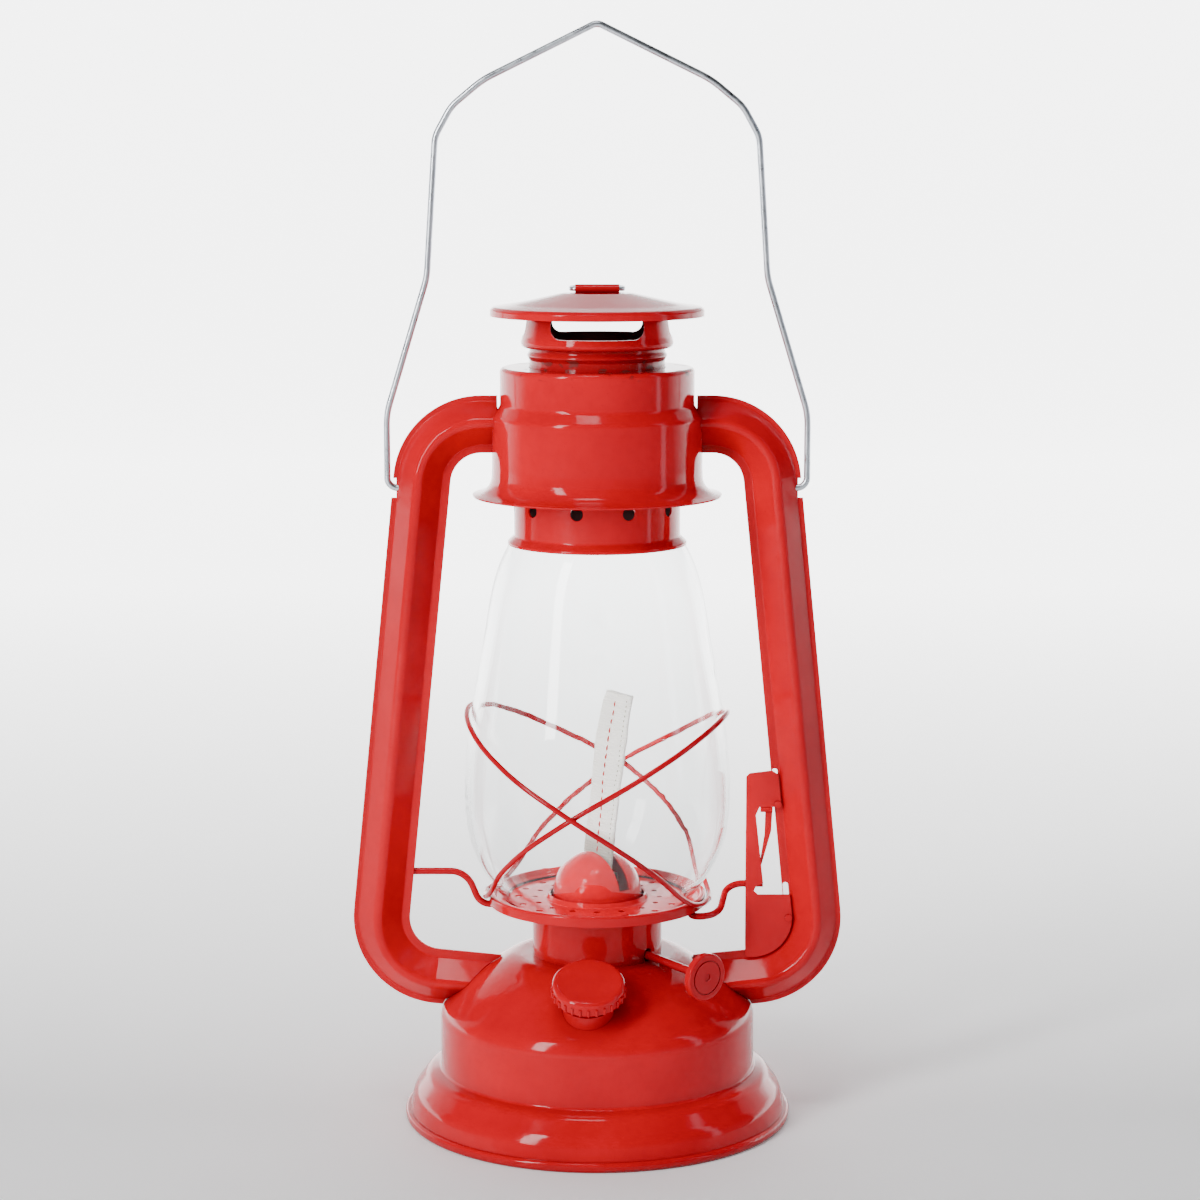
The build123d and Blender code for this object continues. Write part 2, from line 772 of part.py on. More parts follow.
strap_z = crown_z + 0.8 * strap_radius
with BuildPart() as hood_strap:
    with BuildSketch(Plane.YZ):
        with Locations((0, strap_z)):
            Circle(strap_radius)
            Circle(strap_radius - strap_wall, mode=Mode.SUBTRACT)
        with Locations((0, crown_z)):
            below = (Align.CENTER, Align.MAX)
            Rectangle(2 * strap_radius, strap_radius, align=below, mode=Mode.SUBTRACT)
    extrude(amount=strap_length / 2, both=True)
save(hood_strap, "hood_strap")

ring_side = ring_width / 2
ring_corners = [
    (0.2, 0, strap_z),
    (ring_side, 0, strap_z),
    (ring_side, ring_depth, strap_z),
    (-ring_side, ring_depth, strap_z),
    (-ring_side, 0, strap_z),
    (-0.2, 0, strap_z),
]
with BuildPart() as hood_ring:
    add(bent_wire(ring_corners, [1.9, 6.0, 6.0, 1.9], ring_wire / 2))
save(hood_ring, "hood_ring")

spring_low_z = chimney_foot_z + sheet + spring_wire / 2
spring_high_z = canopy_top_z - sheet - spring_wire / 2 - run_gap
with BuildPart() as chimney_spring:
    with BuildLine(Plane.XY.offset(spring_low_z)) as coil:
        Helix(
            pitch=(spring_high_z - spring_low_z) / spring_turns,
            height=spring_high_z - spring_low_z,
            radius=chimney_radius + spring_clear,
        )
    with BuildSketch(Plane(origin=coil.line @ 0, x_dir=(1, 0, 0), z_dir=coil.line % 0)):
        Circle(spring_wire / 2)
    sweep(is_frenet=True)
save(chimney_spring, "chimney_spring")

# ================================================================ side tubes and canopy
tube_outer = [
    (tube_half, 0),
    (tube_half, sheet),
    (tube_half - outer_seam, sheet),
    (crease_place, tube_depth + 1.0),
    (inner_seam - tube_half, sheet),
    (-tube_half, sheet),
    (-tube_half, 0),
]
tube_inner = [
    (-tube_half, 0),
    (inner_seam - tube_half + 0.25, 0),
    (crease_place, tube_depth + 1.0 - 1.4 * sheet),
    (tube_half - outer_seam - 0.25, 0),
    (tube_half, 0),
]

slot_depth = 12.0
cradle_slot_low = cradle_left_z - cradle_wire / 2 - run_gap
cradle_slot_high = cradle_left_z + lift_travel + cradle_wire / 2 + run_gap
lift_slide = lift_travel / cos(radians(leg_angle))

for side, side_name in ((-1, "left"), (1, "right")):
    for face, face_name in ((1, "front"), (-1, "back")):
        with BuildPart() as air_tube:
            with BuildLine(Plane.XZ) as middle:
                FilletPolyline(
                    (side * (canopy_radius - 2.0), tube_top_z),
                    (side * leg_top_x, tube_top_z),
                    (side * leg_low_x, tube_low_z),
                    (side * run_end, tube_low_z - run_fall),
                    radius=[upper_bend, lower_bend],
                )
            start = Plane(origin=middle.line @ 0, x_dir=(0, 0, 1), z_dir=middle.line % 0)
            depth_sign = side * face
            with BuildSketch(start):
                with BuildLine():
                    FilletPolyline(
                        *[(x, depth_sign * y) for x, y in tube_outer],
                        radius=[0.2, 0.8, crease_round, 0.8, 0.2],
                    )
                    FilletPolyline(
                        *[(x, depth_sign * y) for x, y in tube_inner],
                        radius=[0.3, crease_round - 0.5, 0.3],
                    )
                make_face()
            sweep(path=middle.line)
            add(tank_form.part, mode=Mode.SUBTRACT)
            # notch in the outer seam, and the hole for the bail
            seam_x = leg_x(pivot_z) + leg_half
            with Locations((side * seam_x, 0, pivot_z)):
                Box(2 * (outer_seam - 0.3), 4, 7.0, mode=Mode.SUBTRACT)
                Cylinder(bail_wire / 2 + hinge_gap, 14, rotation=(0, 90, 0), mode=Mode.SUBTRACT)
            if side < 0 and face < 0:
                slot_middle = (cradle_slot_low + cradle_slot_high) / 2
                slot_x = -(leg_x(slot_middle) - leg_half)
                with Locations((slot_x, cradle_left_y, slot_middle)):
                    Box(
                        slot_depth,
                        cradle_wire + 2 * run_gap,
                        cradle_slot_high - cradle_slot_low,
                        mode=Mode.SUBTRACT,
                    )
            elif side > 0:
                with BuildSketch(Plane.XZ):
                    for rise in rivet_heights:
                        slot_z = floor_z + rise + lift_travel / 2
                        with Locations((rivet_x(slot_z), slot_z)):
                            SlotOverall(
                                lift_slide + 2 * rivet_radius + 0.6,
                                2 * rivet_radius + 0.6,
                                rotation=90 + leg_angle,
                            )
                extrude(amount=2, both=True, mode=Mode.SUBTRACT)
        save(air_tube, f"tube_{side_name}_{face_name}")

with BuildPart() as canopy:
    add(
        sheet_profile(
            [
                (canopy_flange_radius, flange_z),
                (canopy_radius + 0.4, flange_z + 1.8),
                (canopy_radius, flange_z + flange_rise),
                (canopy_radius, flange_z + step_low),
                (canopy_top_radius, flange_z + step_high),
                (canopy_top_radius, canopy_top_z),
                (chimney_radius + run_gap, canopy_top_z),
            ],
            [6.0, 20.0, 2.5, 2.0, 1.5],
            side=Side.LEFT,
        )
    )
    revolve(axis=Axis.Z)
    with BuildSketch(Plane(origin=(0, 0, tube_top_z), x_dir=(0, 0, 1), z_dir=(1, 0, 0))):
        with BuildLine():
            Polyline(
                (tube_half + seam_gap, sheet + seam_gap),
                (tube_half - outer_seam, sheet + seam_gap),
                (crease_place, tube_depth + 1.0),
                (inner_seam - tube_half, sheet + seam_gap),
                (-tube_half - seam_gap, sheet + seam_gap),
                (-tube_half - seam_gap, -sheet - seam_gap),
                (inner_seam - tube_half, -sheet - seam_gap),
                (crease_place, -tube_depth - 1.0),
                (tube_half - outer_seam, -sheet - seam_gap),
                (tube_half + seam_gap, -sheet - seam_gap),
                close=True,
            )
        make_face()
    extrude(amount=canopy_radius + 2, both=True, mode=Mode.SUBTRACT)
save(canopy, "canopy")

# ================================================================ bail
bail_x = leg_x(pivot_z) + leg_half + bail_clear + bail_wire / 2
# the right half from its hook to the apex: (inside the leg's line, above the pivot)
bail_shape = [(0, 26.4), (14.6, 74.4), (17.8, 123.4), (23.6, 133.9), (34.6, 143.0)]
bail_rise = 162.6
bail_right = [(bail_x - bail_hook, 0, pivot_z), (bail_x, 0, pivot_z)]
for inset, rise in bail_shape:
    bail_right.append((bail_x - inset, 0, pivot_z + rise))
bail_left = [(-x, y, z) for x, y, z in bail_right[::-1]]

bail_corners = [*bail_right, (0, 0, pivot_z + bail_rise), *bail_left]
bail_rounds = [bail_bend, 25, 25, 12, 15, 30, 4, 30, 15, 12, 25, 25, bail_bend]

with BuildPart() as bail:
    add(bent_wire(bail_corners, bail_rounds, bail_wire / 2))
save(bail, "bail")

# ================================================================ lift lever
lever_y = sheet + run_gap
lever_front = Plane.XZ.offset(lever_y)
rivet_front = Plane.XZ.offset(lever_y + lever_sheet)
lip_depth = cradle_link_y + cradle_wire / 2 + run_gap + lip_wall + lever_y

# middle of the lower bend of the right tube
leg_run = Vector(sin(radians(leg_angle)), -cos(radians(leg_angle)))
low_run = Vector(run_end - leg_low_x, -run_fall).normalized()
half_turn = radians(leg_run.get_angle(low_run)) / 2
bend_middle = Vector(leg_low_x, tube_low_z) + (low_run - leg_run).normalized() * (
    lower_bend / cos(half_turn)
)
lap_radius = lower_bend - tube_half + lever_lap
lever_top_z = floor_z + lever_top
lap_top_x = leg_x(lever_top_z) - leg_half + lever_lap
rivet_centres = [(rivet_x(floor_z + rise), floor_z + rise) for rise in rivet_heights]

with BuildPart() as lift_lever:
    with BuildSketch(lever_front):
        with BuildLine():
            bend = CenterArc(bend_middle, lap_radius, -97, 97 + leg_angle)
            Polyline(
                bend @ 1,
                (lap_top_x, lever_top_z - 1.4),
                (lap_top_x - 2.2, lever_top_z),
                (lever_left_x + 1.2, lever_top_z - 1.0),
                (lever_left_x, lever_top_z - 2.2),
                (lever_left_x, (bend @ 0).Y + 0.8),
                bend @ 0,
            )
        make_face()
        with BuildLine():
            Polyline(
                (lever_left_x + 3.6, floor_z + lever_window_top - 3.0),
                (lever_left_x + 4.9, floor_z + lever_window_top),
                (lap_top_x + 12, floor_z + lever_window_top),
                (lap_top_x + 12, floor_z + 0.6),
                (lever_left_x + 4.6, floor_z + 0.6),
                (lever_left_x + 3.1, floor_z + 2.0),
                (lever_left_x + 3.8, floor_z + 3.6),
                (lever_left_x + 6.4, floor_z + 4.9),
                close=True,
            )
        make_face(mode=Mode.SUBTRACT)
        with Locations(*rivet_centres):
            Circle(rivet_radius, mode=Mode.SUBTRACT)
    extrude(amount=lever_sheet)
    with BuildSketch(Plane.YZ.offset(lever_left_x)):
        with Locations((-lever_y, (bend @ 0).Y + lever_lap + 1.0)):
            Rectangle(lip_depth, lip_height, align=(Align.MIN, Align.MIN))
        with Locations((cradle_link_y, cradle_right_z)):
            Circle(cradle_wire / 2 + run_gap, mode=Mode.SUBTRACT)
    extrude(amount=lever_sheet)
save(lift_lever, "lift_lever")

with BuildPart() as lever_rivets:
    for centre in rivet_centres:
        with BuildSketch(rivet_front):
            with Locations(centre):
                Circle(rivet_radius + rivet_head)
        extrude(amount=rivet_head)
        with BuildSketch(rivet_front):
            with Locations(centre):
                Circle(rivet_radius)
        extrude(amount=-(lever_sheet + 2 * lever_y + rivet_head))
        with BuildSketch(Plane.XZ.offset(-lever_y)):
            with Locations(centre):
                Circle(rivet_radius + rivet_head)
        extrude(amount=-rivet_head)
save(lever_rivets, "lever_rivets")

tab_z = floor_z + lever_window_top
knuckle_radius = 0.95
tab_sheet = 0.6
with BuildPart() as thumb_tab:
    with BuildSketch(Plane.XZ.offset(lever_y - tab_sheet)):
        with BuildLine():
            Polyline(
                (lever_left_x + 7.0, tab_z - 0.8),
                (lever_left_x + 9.6, tab_z - 0.8),
                (lever_left_x + 9.2, tab_z - 9),
                (lever_left_x + 5.8, tab_z - 21.5),
                (lever_left_x + 5.1, tab_z - 21),
                (lever_left_x + 6.8, tab_z - 10),
                close=True,
            )
        make_face()
    extrude(amount=tab_sheet)
    with BuildSketch(Plane.YZ.offset(lever_left_x + 5.2)):
        with Locations((-lever_y - 0.4, tab_z - knuckle_radius - 0.05)):
            Circle(knuckle_radius)
    extrude(amount=4.4)
save(thumb_tab, "thumb_tab")
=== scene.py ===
import json
import math
import random
import bpy
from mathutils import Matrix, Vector

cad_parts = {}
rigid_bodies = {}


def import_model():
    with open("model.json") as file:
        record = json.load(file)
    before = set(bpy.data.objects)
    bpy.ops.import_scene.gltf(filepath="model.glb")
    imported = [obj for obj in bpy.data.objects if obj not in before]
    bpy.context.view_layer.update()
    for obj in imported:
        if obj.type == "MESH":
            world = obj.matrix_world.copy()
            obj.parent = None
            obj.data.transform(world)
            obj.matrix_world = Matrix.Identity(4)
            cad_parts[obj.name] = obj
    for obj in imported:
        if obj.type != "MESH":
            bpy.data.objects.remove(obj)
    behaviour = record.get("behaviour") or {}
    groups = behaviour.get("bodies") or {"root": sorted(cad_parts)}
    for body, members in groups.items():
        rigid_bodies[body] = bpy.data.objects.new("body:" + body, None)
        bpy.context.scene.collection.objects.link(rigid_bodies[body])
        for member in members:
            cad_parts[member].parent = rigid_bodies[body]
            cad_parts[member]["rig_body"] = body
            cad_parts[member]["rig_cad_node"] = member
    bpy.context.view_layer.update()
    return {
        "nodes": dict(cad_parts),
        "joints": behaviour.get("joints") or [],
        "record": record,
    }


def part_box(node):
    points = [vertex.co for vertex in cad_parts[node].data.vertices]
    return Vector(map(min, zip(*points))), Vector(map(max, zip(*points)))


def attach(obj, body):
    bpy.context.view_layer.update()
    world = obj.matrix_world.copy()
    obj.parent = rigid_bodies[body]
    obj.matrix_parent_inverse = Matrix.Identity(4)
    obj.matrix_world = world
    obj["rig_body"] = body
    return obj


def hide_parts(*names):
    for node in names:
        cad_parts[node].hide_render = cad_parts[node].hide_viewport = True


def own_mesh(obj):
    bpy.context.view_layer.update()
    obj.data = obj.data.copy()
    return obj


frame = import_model()
nodes = frame["nodes"]
rng = random.Random(7)

# ---------------------------------------------------------------- shader helpers
def new_material(name):
    """An empty material and its node tree."""
    material = bpy.data.materials.new(name)
    material.use_nodes = True
    material.node_tree.nodes.clear()
    return material, material.node_tree


def put(tree, kind, values=None, **settings):
    """A node with its settings and inputs; a socket among the values is linked."""
    node = tree.nodes.new(kind)
    for key, value in settings.items():
        setattr(node, key, value)
    for key, value in (values or {}).items():
        if isinstance(value, bpy.types.NodeSocket):
            tree.links.new(value, node.inputs[key])
        else:
            node.inputs[key].default_value = value
    return node


def place(tree, scale=(1, 1, 1)):
    """Object coordinates in metres, stretched by scale."""
    coords = put(tree, "ShaderNodeTexCoord")
    return put(tree, "ShaderNodeMapping", {"Vector": coords.outputs["Object"], "Scale": scale}).outputs[0]


def grain(tree, where, scale, detail=4.0, rough=0.55):
    return put(
        tree,
        "ShaderNodeTexNoise",
        {"Vector": where, "Scale": scale, "Detail": detail, "Roughness": rough},
    ).outputs["Fac"]


def spread(tree, value, low, high, out_low, out_high):
    """value from low..high to out_low..out_high, clamped."""
    return put(
        tree,
        "ShaderNodeMapRange",
        {"Value": value, "From Min": low, "From Max": high, "To Min": out_low, "To Max": out_high},
    ).outputs[0]


def maths(tree, work, first, second=0.0):
    return put(tree, "ShaderNodeMath", {0: first, 1: second}, operation=work).outputs[0]


def blend_colour(tree, share, first, second):
    node = put(tree, "ShaderNodeMix", {0: share, 6: first, 7: second}, data_type="RGBA")
    return node.outputs[2]


def bump(tree, height, distance, strength=1.0, under=None):
    values = {"Height": height, "Distance": distance, "Strength": strength}
    if under is not None:
        values["Normal"] = under
    return put(tree, "ShaderNodeBump", values).outputs[0]


def finish_surface(tree, values):
    surface = put(tree, "ShaderNodeBsdfPrincipled", values)
    output = put(tree, "ShaderNodeOutputMaterial")
    tree.links.new(surface.outputs[0], output.inputs["Surface"])


def inside_share(tree):
    """1 on faces that look towards the lantern's axis, 0 on the others."""
    coords = put(tree, "ShaderNodeTexCoord")
    flat = put(
        tree,
        "ShaderNodeVectorMath",
        {0: coords.outputs["Object"], 1: (1, 1, 0)},
        operation="MULTIPLY",
    ).outputs[0]
    outward = put(tree, "ShaderNodeVectorMath", {0: flat}, operation="NORMALIZE").outputs[0]
    facing = put(
        tree,
        "ShaderNodeVectorMath",
        {0: outward, 1: coords.outputs["Normal"]},
        operation="DOT_PRODUCT",
    ).outputs["Value"]
    return spread(tree, facing, -0.1, -0.5, 0.0, 1.0)


def height_band(tree, low, high, soft):
    """1 between the two heights, fading over soft."""
    coords = put(tree, "ShaderNodeTexCoord")
    z = put(tree, "ShaderNodeSeparateXYZ", {0: coords.outputs["Object"]}).outputs["Z"]
    rise = spread(tree, z, low - soft, low, 0.0, 1.0)
    fall = spread(tree, z, high, high + soft, 1.0, 0.0)
    return maths(tree, "MULTIPLY", rise, fall)


# ---------------------------------------------------------------- materials
def enamel(name, deep=(0.50, 0.0016, 0.009, 1), bright=(0.72, 0.0022, 0.013, 1), soot=0.0, worn=None):
    """Glossy sprayed enamel on pressed sheet, with painted shade in its corners and creases. worn is a
    height band (low, high) of rubbed paint.
    """
    material, tree = new_material(name)
    where = place(tree)
    cloud = grain(tree, where, 24.0, 3.0)
    fine = grain(tree, where, 340.0, 6.0)
    speck = grain(tree, where, 1500.0, 2.0)
    colour = blend_colour(tree, spread(tree, cloud, 0.3, 0.7, 0.25, 1.0), deep, bright)
    colour = blend_colour(tree, spread(tree, fine, 0.45, 0.75, 0.0, 0.22), colour, deep)
    colour = blend_colour(tree, spread(tree, speck, 0.70, 0.76, 0.0, 0.5), colour, (0.42, 0.008, 0.012, 1))
    # painted shade: the enamel turns towards a dark red-black in the corners and creases that Ambient
    # Occlusion finds
    painted_crevice_shade = put(tree, "ShaderNodeAmbientOcclusion", {"Distance": 0.012}, samples=8).outputs["AO"]
    colour = blend_colour(tree, spread(tree, painted_crevice_shade, 0.25, 0.90, 0.75, 0.0), colour, (0.16, 0.002, 0.004, 1))
    rough = spread(tree, grain(tree, where, 90.0), 0.3, 0.75, 0.05, 0.13)
    if soot:
        dark = maths(tree, "MULTIPLY", inside_share(tree), soot)
        colour = blend_colour(tree, dark, colour, (0.012, 0.010, 0.010, 1))
        rough = maths(tree, "ADD", rough, maths(tree, "MULTIPLY", dark, 0.5))
    if worn:
        band = height_band(tree, worn[0], worn[1], 0.0008)
        patch = spread(tree, grain(tree, place(tree, (1, 1, 2.2)), 150.0, 6.0), 0.56, 0.62, 0.0, 0.8)
        bare = maths(tree, "MULTIPLY", band, patch)
        colour = blend_colour(tree, bare, colour, (0.14, 0.022, 0.02, 1))
        rough = maths(tree, "ADD", rough, maths(tree, "MULTIPLY", bare, 0.25))
    normal = bump(tree, grain(tree, where, 42.0, 2.0), 0.0005, 0.35)
    normal = bump(tree, grain(tree, where, 700.0, 3.0), 0.00006, 0.5, normal)
    finish_surface(
        tree,
        {
            "Base Color": colour,
            "Roughness": rough,
            "Normal": normal,
            "Coat Weight": 0.08,
            "Coat Roughness": 0.04,
            "Specular IOR Level": 0.18,
            "IOR": 1.45,
        },
    )
    return material


def plated_wire(name, low=(0.60, 0.64, 0.70, 1), high=(0.86, 0.90, 0.96, 1)):
    """Zinc plated steel wire with drawing lines and dull patches."""
    material, tree = new_material(name)
    where = place(tree)
    patch = grain(tree, where, 130.0, 5.0)
    lines = grain(tree, place(tree, (1, 1, 0.08)), 1800.0, 3.0)
    colour = blend_colour(tree, spread(tree, patch, 0.3, 0.7, 0.0, 1.0), low, high)
    colour = blend_colour(tree, spread(tree, lines, 0.5, 0.8, 0.0, 0.45), colour, (0.30, 0.31, 0.33, 1))
    rough = spread(tree, grain(tree, where, 260.0), 0.3, 0.7, 0.24, 0.42)
    normal = bump(tree, lines, 0.00005, 0.6)
    finish_surface(
        tree, {"Base Color": colour, "Metallic": 1.0, "Roughness": rough, "Normal": normal}
    )
    return material


def clear_glass(name):
    """Clear soda glass, slightly uneven."""
    material, tree = new_material(name)
    where = place(tree)
    wavy = bump(tree, grain(tree, place(tree, (1, 1, 0.5)), 26.0, 2.0), 0.0005, 0.35)
    tint = blend_colour(
        tree, grain(tree, where, 30.0), (0.965, 0.985, 0.985, 1), (0.995, 1.0, 1.0, 1)
    )
    rough = spread(tree, grain(tree, where, 900.0, 3.0), 0.55, 0.8, 0.0, 0.05)
    finish_surface(
        tree,
        {
            "Base Color": tint,
            "Roughness": rough,
            "Normal": wavy,
            "IOR": 1.45,
            "Transmission Weight": 1.0,
        },
    )
    return material


def cotton(name, light=(0.97, 0.96, 0.93, 1), shade=(0.80, 0.77, 0.70, 1)):
    """Woven cotton tape, darker towards the bottom, with a painted glow in its own colour."""
    material, tree = new_material(name)
    where = place(tree)
    warp = put(
        tree, "ShaderNodeTexWave", {"Vector": where, "Scale": 330.0, "Distortion": 1.5, "Detail": 2.0},
        bands_direction="Z",
    ).outputs["Fac"]
    fibre = grain(tree, place(tree, (1, 1, 0.3)), 2600.0, 4.0)
    colour = blend_colour(tree, spread(tree, fibre, 0.35, 0.7, 0.0, 1.0), shade, light)
    colour = blend_colour(tree, spread(tree, warp, 0.0, 0.35, 0.35, 0.0), colour, shade)
    # darker towards the bottom, below 0.100 m
    colour = blend_colour(tree, height_band(tree, 0.0, 0.100, 0.006), colour, (0.34, 0.30, 0.26, 1))
    normal = bump(tree, warp, 0.00018, 0.8)
    normal = bump(tree, fibre, 0.0001, 0.8, normal)
    finish_surface(
        tree,
        {
            "Base Color": colour,
            "Roughness": spread(tree, fibre, 0.2, 0.8, 0.85, 1.0),
            "Normal": normal,
            "Sheen Weight": 0.3,
            "Sheen Roughness": 0.5,
            # painted light: the tape glows in its own colour, standing in for lamp light that the glass
            # keeps off
            "Emission Color": colour,
            "Emission Strength": 0.5,
        },
    )
    return material


def thread(name, tone, dark):
    """Sewing thread."""
    material, tree = new_material(name)
    ply = grain(tree, place(tree), 2400.0, 3.0)
    colour = blend_colour(tree, ply, dark, tone)
    finish_surface(
        tree, {"Base Color": colour, "Roughness": 0.9, "Normal": bump(tree, ply, 0.00006, 0.8)}
    )
    return material


def dull(name, low, high, metallic=0.0, rough=(0.35, 0.6)):
    """Brass, tinned steel or rubber, by its colours."""
    material, tree = new_material(name)
    where = place(tree)
    patch = grain(tree, where, 220.0, 5.0)
    finish_surface(
        tree,
        {
            "Base Color": blend_colour(tree, spread(tree, patch, 0.3, 0.7, 0.0, 1.0), low, high),
            "Metallic": metallic,
            "Roughness": spread(tree, grain(tree, where, 500.0), 0.3, 0.7, rough[0], rough[1]),
            "Normal": bump(tree, patch, 0.0001, 0.4),
        },
    )
    return material


def paper(name, low, high, glow_front, glow_near, glow_far):
    """The pale floor, lit through like a light table, most of all low behind the object."""
    material, tree = new_material(name)
    where = place(tree)
    cloud = grain(tree, where, 3.0, 3.0)
    spot = put(tree, "ShaderNodeSeparateXYZ", {0: where})
    front = spread(tree, spot.outputs["Y"], -0.7, -1.6, glow_near, glow_front)
    far = spread(tree, spot.outputs["Y"], 0.0, 1.3, glow_near, glow_far)
    fade = spread(tree, spot.outputs["Z"], 0.55, 1.0, 1.0, 0.12)
    glow = maths(tree, "MULTIPLY", maths(tree, "MAXIMUM", front, far), fade)
    finish_surface(
        tree,
        {
            "Base Color": blend_colour(tree, cloud, low, high),
            "Roughness": spread(tree, grain(tree, where, 40.0), 0.3, 0.7, 0.7, 0.85),
            "Emission Color": (1.0, 1.0, 1.0, 1),
            "Emission Strength": glow,
        },
    )
    return material


red = enamel("red_enamel")
red_sooty = enamel("red_enamel_sooty", soot=0.95)
red_neck = enamel("red_enamel_worn_neck", worn=(0.2705, 0.2762))
red_wire = enamel("red_enamel_wire", deep=(0.42, 0.002, 0.010, 1), bright=(0.60, 0.003, 0.014, 1))
zinc = plated_wire("zinc_wire")
tinned = dull("bright_steel", (0.45, 0.44, 0.42, 1), (0.72, 0.71, 0.69, 1), 1.0, (0.25, 0.45))
brass = dull("brass_wheel", (0.45, 0.30, 0.10, 1), (0.72, 0.52, 0.22, 1), 1.0)
rubber = dull("seal_rubber", (0.020, 0.018, 0.017, 1), (0.05, 0.045, 0.04, 1), 0.0, (0.6, 0.85))
glass = clear_glass("clear_glass")
tape = cotton("wick_cotton")
red_thread = thread("stitch_red", (0.62, 0.03, 0.03, 1), (0.38, 0.015, 0.02, 1))
grey_thread = thread("stitch_grey", (0.50, 0.49, 0.48, 1), (0.33, 0.32, 0.31, 1))

slot_finish = {
    "red_enamel": red,
    "zinc_wire": zinc,
    "bright_steel": tinned,
    "brass_wheel": brass,
    "seal_rubber": rubber,
    "clear_glass": glass,
    "wick_cotton": tape,
}
special = {
    "vent_ring": red_sooty,
    "hood": red_sooty,
    "chimney_tube": red_neck,
    "canopy": red_neck,
    "chimney_collar": red_sooty,
    "guard_ring_left": red_wire,
    "guard_ring_right": red_wire,
    "cradle_wire": red_wire,
    "wick_shaft": red_wire,
}
slot_of = {part["node"]: part["material_slot"] for part in frame["record"]["subparts"]}
for name, node in nodes.items():
    node.data.materials.clear()
    node.data.materials.append(special.get(name, slot_finish[slot_of[name]]))
# thin glass lets the lamps light what is inside it
nodes["globe"].visible_shadow = False


# ---------------------------------------------------------------- mesh helpers
def make_mesh(name, points, faces, material, smooth=True):
    mesh = bpy.data.meshes.new(name)
    mesh.from_pydata([tuple(p) for p in points], [], faces)
    mesh.update()
    piece = bpy.data.objects.new(name, mesh)
    bpy.context.scene.collection.objects.link(piece)
    mesh.materials.append(material)
    for face in mesh.polygons:
        face.use_smooth = smooth
    return piece


def rod_into(points, faces, route, radii, sides=8):
    """Adds a round rod along a route to the lists, with closed ends."""
    start = len(points)
    for place_number, centre in enumerate(route):
        before = route[max(place_number - 1, 0)]
        after = route[min(place_number + 1, len(route) - 1)]
        along = (after - before).normalized()
        side = along.cross(Vector((0.31, 0.42, 0.85))).normalized()
        other = along.cross(side)
        for turn in range(sides):
            angle = 2 * math.pi * turn / sides
            points.append(
                centre + radii[place_number] * (math.cos(angle) * side + math.sin(angle) * other)
            )
    for ring in range(len(route) - 1):
        for turn in range(sides):
            a = start + ring * sides + turn
            b = start + ring * sides + (turn + 1) % sides
            faces.append((a, b, b + sides, a + sides))
    faces.append(tuple(start + turn for turn in range(sides))[::-1])
    last = start + (len(route) - 1) * sides
    faces.append(tuple(last + turn for turn in range(sides)))


# ---------------------------------------------------------------- the wick
mouth_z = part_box("wick_tube")[1][2]
wick_top_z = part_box("wick_top")[1][2]
shaft_axis = next(joint for joint in frame["joints"] if joint["name"] == "wick_turn")["axis"]
across = Vector((shaft_axis[0], shaft_axis[1], 0)).normalized()
behind = Vector((-across.y, across.x, 0))
wick_half = 0.0078
wick_skin = 0.00095
fray_room = 0.001
wick_length = wick_top_z - mouth_z - fray_room
lean = math.tan(math.radians(9.0))


def wick_point(u, v, depth):
    """A point of the tape: u across -1..1, v up 0..1, depth through it in metres."""
    rise = v * wick_length
    sway = lean * rise * (0.55 + 0.45 * v) + 0.0006 * math.sin(7 * v) * v
    curl = 0.0011 * (u * u - 0.4) * v + 0.0005 * math.sin(9 * v + 2 * u) * v
    edge = 1 + 0.015 * math.sin(31 * v + 3 * u)
    base = Vector((0, 0, mouth_z + rise))
    drift = across * 0.0006 * math.sin(4 * v) * v
    return base + behind * (sway + curl + depth) + across * (u * wick_half * edge) + drift


columns = 40
rows = 150
points = []
faces = []
loop = []
for step in range(columns + 1):
    loop.append((-1 + 2 * step / columns, 1))
for step in range(columns + 1):
    loop.append((1 - 2 * step / columns, -1))
for row in range(rows + 1):
    v = row / rows
    for u, face_side in loop:
        rib = 0.00009 * math.cos(u * 34) + 0.00005 * math.cos(v * 260 + u * 20)
        rounding = math.sqrt(max(0.0, 1 - abs(u) ** 6))
        stitched = 0.00022 * math.exp(-((u / 0.06) ** 2))
        depth = face_side * ((wick_skin + rib - stitched) * (0.35 + 0.65 * rounding))
        if v == 1:
            v_here = 1 - 0.004 * rng.random()
        else:
            v_here = v
        points.append(wick_point(u, v_here, depth))
count = len(loop)
for row in range(rows):
    for step in range(count):
        a = row * count + step
        b = row * count + (step + 1) % count
        faces.append((a, b, b + count, a + count))
faces.append(tuple(range(count))[::-1])
faces.append(tuple(rows * count + step for step in range(count)))
wick = make_mesh("wick_tape", points, faces, tape)


def stitch_row(name, u, start, finish, pitch, length, radius, material, sides_used=(1, -1)):
    """A running stitch on the tape, as short bowed threads."""
    stitch_points = []
    stitch_faces = []
    for face_side in sides_used:
        v = start
        while v + length < finish:
            wander = u + 0.02 * math.sin(23 * v)
            route = []
            radii = []
            for step in range(9):
                share = step / 8
                bow = math.sin(math.pi * share)
                depth = face_side * (wick_skin - 0.0003 + bow * 0.00032)
                route.append(wick_point(wander + 0.01 * bow, v + share * length, depth))
                radii.append(radius * (0.55 + 0.45 * bow))
            rod_into(stitch_points, stitch_faces, route, radii)
            v += pitch * (0.96 + 0.08 * rng.random())
    return make_mesh(name, stitch_points, stitch_faces, material)


red_stitches = stitch_row("wick_stitches_red", 0.0, 0.05, 0.985, 0.0485, 0.033, 0.00034, red_thread)
grey_stitches = stitch_row(
    "wick_stitches_grey", 0.80, 0.05, 0.99, 0.028, 0.012, 0.0002, grey_thread, (-1, 1)
)

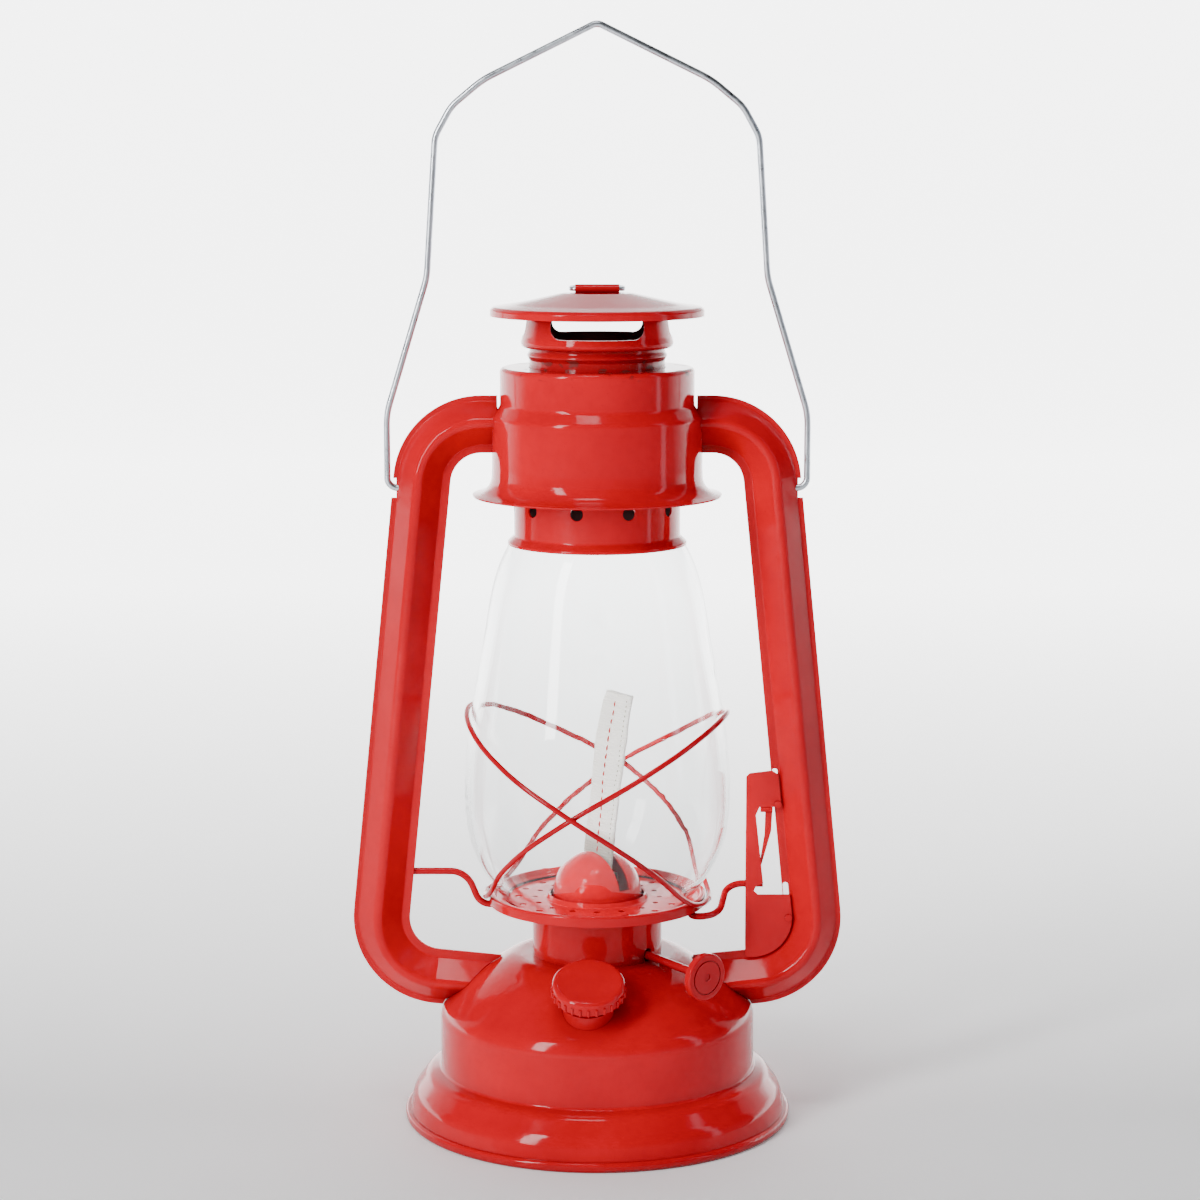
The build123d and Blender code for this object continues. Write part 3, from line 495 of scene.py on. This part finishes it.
fray_points = []
fray_faces = []
for number in range(110):
    u = rng.uniform(-0.97, 0.97)
    depth = rng.uniform(-0.8, 0.8) * wick_skin
    reach = rng.uniform(0.006, 0.022)
    start_point = wick_point(u, 0.985, depth)
    end_point = wick_point(u + rng.uniform(-0.07, 0.07), 0.985 + reach, depth * 1.3)
    middle = (start_point + end_point) / 2 + across * rng.uniform(-0.0002, 0.0002)
    rod_into(fray_points, fray_faces, [start_point, middle, end_point], [0.00011, 0.0001, 0.00005], 5)
fray = make_mesh("wick_fray", fray_points, fray_faces, tape)

for piece in (wick, red_stitches, grey_stitches, fray):
    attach(piece, "frame")
    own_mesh(piece)
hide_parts("wick_top")

# ---------------------------------------------------------------- the chimney spring
spring_node = nodes["chimney_spring"]
coil = spring_node.copy()
coil.data = spring_node.data.copy()
coil.name = "chimney_coil"
coil.parent = None
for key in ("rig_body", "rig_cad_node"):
    if key in coil:
        del coil[key]
bpy.context.scene.collection.objects.link(coil)
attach(coil, "frame")
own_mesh(coil)
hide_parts("chimney_spring")

# ---------------------------------------------------------------- floor, lights, camera
floor_front_y = -12.0
floor_bend_y = 2.2
floor_bend_radius = 0.9
floor_bend_steps = 40
wall_top_z = 4.5
floor_half_width = 8.0

floor_points = []
floor_faces = []
profile = [(floor_front_y, 0.0)]
for step in range(floor_bend_steps + 1):
    angle = math.pi / 2 * step / floor_bend_steps
    profile.append(
        (
            floor_bend_y + floor_bend_radius * math.sin(angle),
            floor_bend_radius - floor_bend_radius * math.cos(angle),
        )
    )
profile.append((floor_bend_y + floor_bend_radius, wall_top_z))
for y, z in profile:
    floor_points += [(-floor_half_width, y, z), (floor_half_width, y, z)]
for step in range(len(profile) - 1):
    floor_faces.append((2 * step, 2 * step + 1, 2 * step + 3, 2 * step + 2))
floor_paper = paper(
    "floor_paper",
    (0.90, 0.90, 0.91, 1),
    (0.94, 0.94, 0.95, 1),
    glow_front=0.35,
    glow_near=0.16,
    glow_far=4.6,
)
floor = make_mesh("floor", floor_points, floor_faces, floor_paper)


def softbox(name, spot, aim, wide, tall, power, tone=(1, 1, 1)):
    lamp = bpy.data.lights.new(name, "AREA")
    lamp.shape = "RECTANGLE"
    lamp.size = wide
    lamp.size_y = tall
    lamp.energy = power
    lamp.color = tone
    holder = bpy.data.objects.new(name, lamp)
    bpy.context.scene.collection.objects.link(holder)
    holder.location = spot
    holder.rotation_euler = (Vector(aim) - Vector(spot)).to_track_quat("-Z", "Y").to_euler()


softbox("light_left", (-1.05, -1.15, 0.85), (0, 0, 0.18), 0.30, 1.2, 29)
softbox("light_right", (1.40, -0.35, 0.60), (0, 0, 0.18), 0.16, 1.3, 2.2, (0.80, 0.86, 1.0))
softbox("light_top", (-0.15, -0.45, 1.60), (0, 0, 0.1), 0.45, 0.35, 5)

world = bpy.data.worlds.new("room")
world.use_nodes = True
sky = world.node_tree
height = put(sky, "ShaderNodeSeparateXYZ", {0: put(sky, "ShaderNodeTexCoord").outputs["Generated"]})
room_glow = maths(
    sky,
    "MULTIPLY",
    spread(sky, height.outputs["Z"], -0.02, 0.0, 0.0, 1.0),
    spread(sky, height.outputs["Z"], 0.05, 0.30, 0.30, 0.02),
)
sky.nodes["Background"].inputs["Color"].default_value = (1.0, 1.0, 1.0, 1)
sky.links.new(room_glow, sky.nodes["Background"].inputs["Strength"])
bpy.context.scene.world = world

camera_spot = (0.001, -1.087, 0.356)
camera_pitch = math.radians(8.72)
lens = bpy.data.cameras.new("camera")
lens.lens = 92.3
lens.sensor_width = 36.0
lens.clip_start = 0.01
camera = bpy.data.objects.new("camera", lens)
bpy.context.scene.collection.objects.link(camera)
camera.location = camera_spot
camera.rotation_euler = (math.pi / 2 - camera_pitch, 0, 0)
bpy.context.scene.camera = camera
